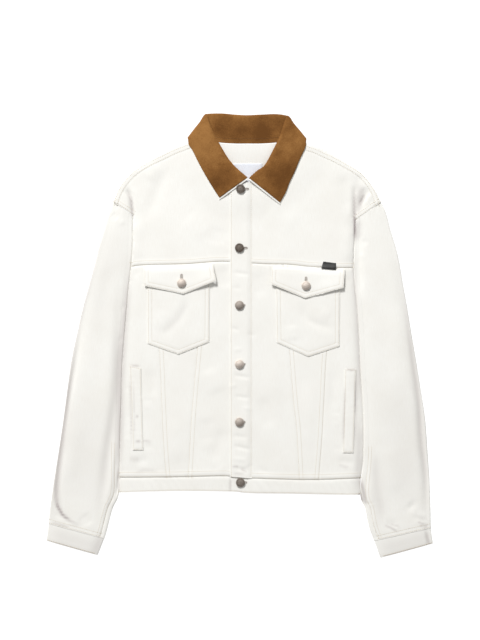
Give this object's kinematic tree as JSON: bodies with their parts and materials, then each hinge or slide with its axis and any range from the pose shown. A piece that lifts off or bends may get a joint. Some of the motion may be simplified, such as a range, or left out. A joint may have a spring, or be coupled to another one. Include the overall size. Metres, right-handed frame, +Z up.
{
  "type": "denim trucker jacket laid flat",
  "caption": "Cropped trucker jacket in pale denim with a turned-down brushed collar, buttoned up and laid flat on its back, with flap chest pockets, welt pockets, waistband and cuffs",
  "frame": {"origin": "on the surface the jacket lies on, under the middle of its body", "axes": "+X to the right of someone looking down on the front, +Y from the hem to the collar, +Z up from the surface"},
  "size_m": [0.7138, 0.8231, 0.0153],
  "materials": {
    "denim": "pale undyed cotton twill, matt",
    "brushed": "brown brushed cotton, matt with a soft nap",
    "pewter": "satin, slightly antiqued",
    "tape_black": "woven tape, satin",
    "tape_white": "woven tape, satin"
  },
  "bodies": {
    "root": {"back_panel": "denim", "back_yoke": "denim", "front_yoke_left": "denim", "front_yoke_right": "denim", "front_centre_left": "denim", "front_centre_right": "denim", "front_wedge_left": "denim", "front_wedge_right": "denim", "front_side_left": "denim", "front_side_right": "denim", "placket": "denim", "button_stand": "denim", "waistband": "denim", "sleeve_upper_left": "denim", "sleeve_upper_right": "denim", "sleeve_under_left": "denim", "sleeve_under_right": "denim", "cuff_left": "denim", "cuff_right": "denim", "chest_pocket_left": "denim", "chest_pocket_right": "denim", "flap_left": "denim", "flap_right": "denim", "welt_left": "denim", "welt_right": "denim", "top_collar": "brushed", "under_collar": "denim", "yoke_tag": "tape_black", "neck_label": "tape_white", "button_1": "pewter", "button_2": "pewter", "button_3": "pewter", "button_4": "pewter", "button_5": "pewter", "button_6": "pewter", "flap_button_left": "pewter", "flap_button_right": "pewter"}
  },
  "joints": []
}
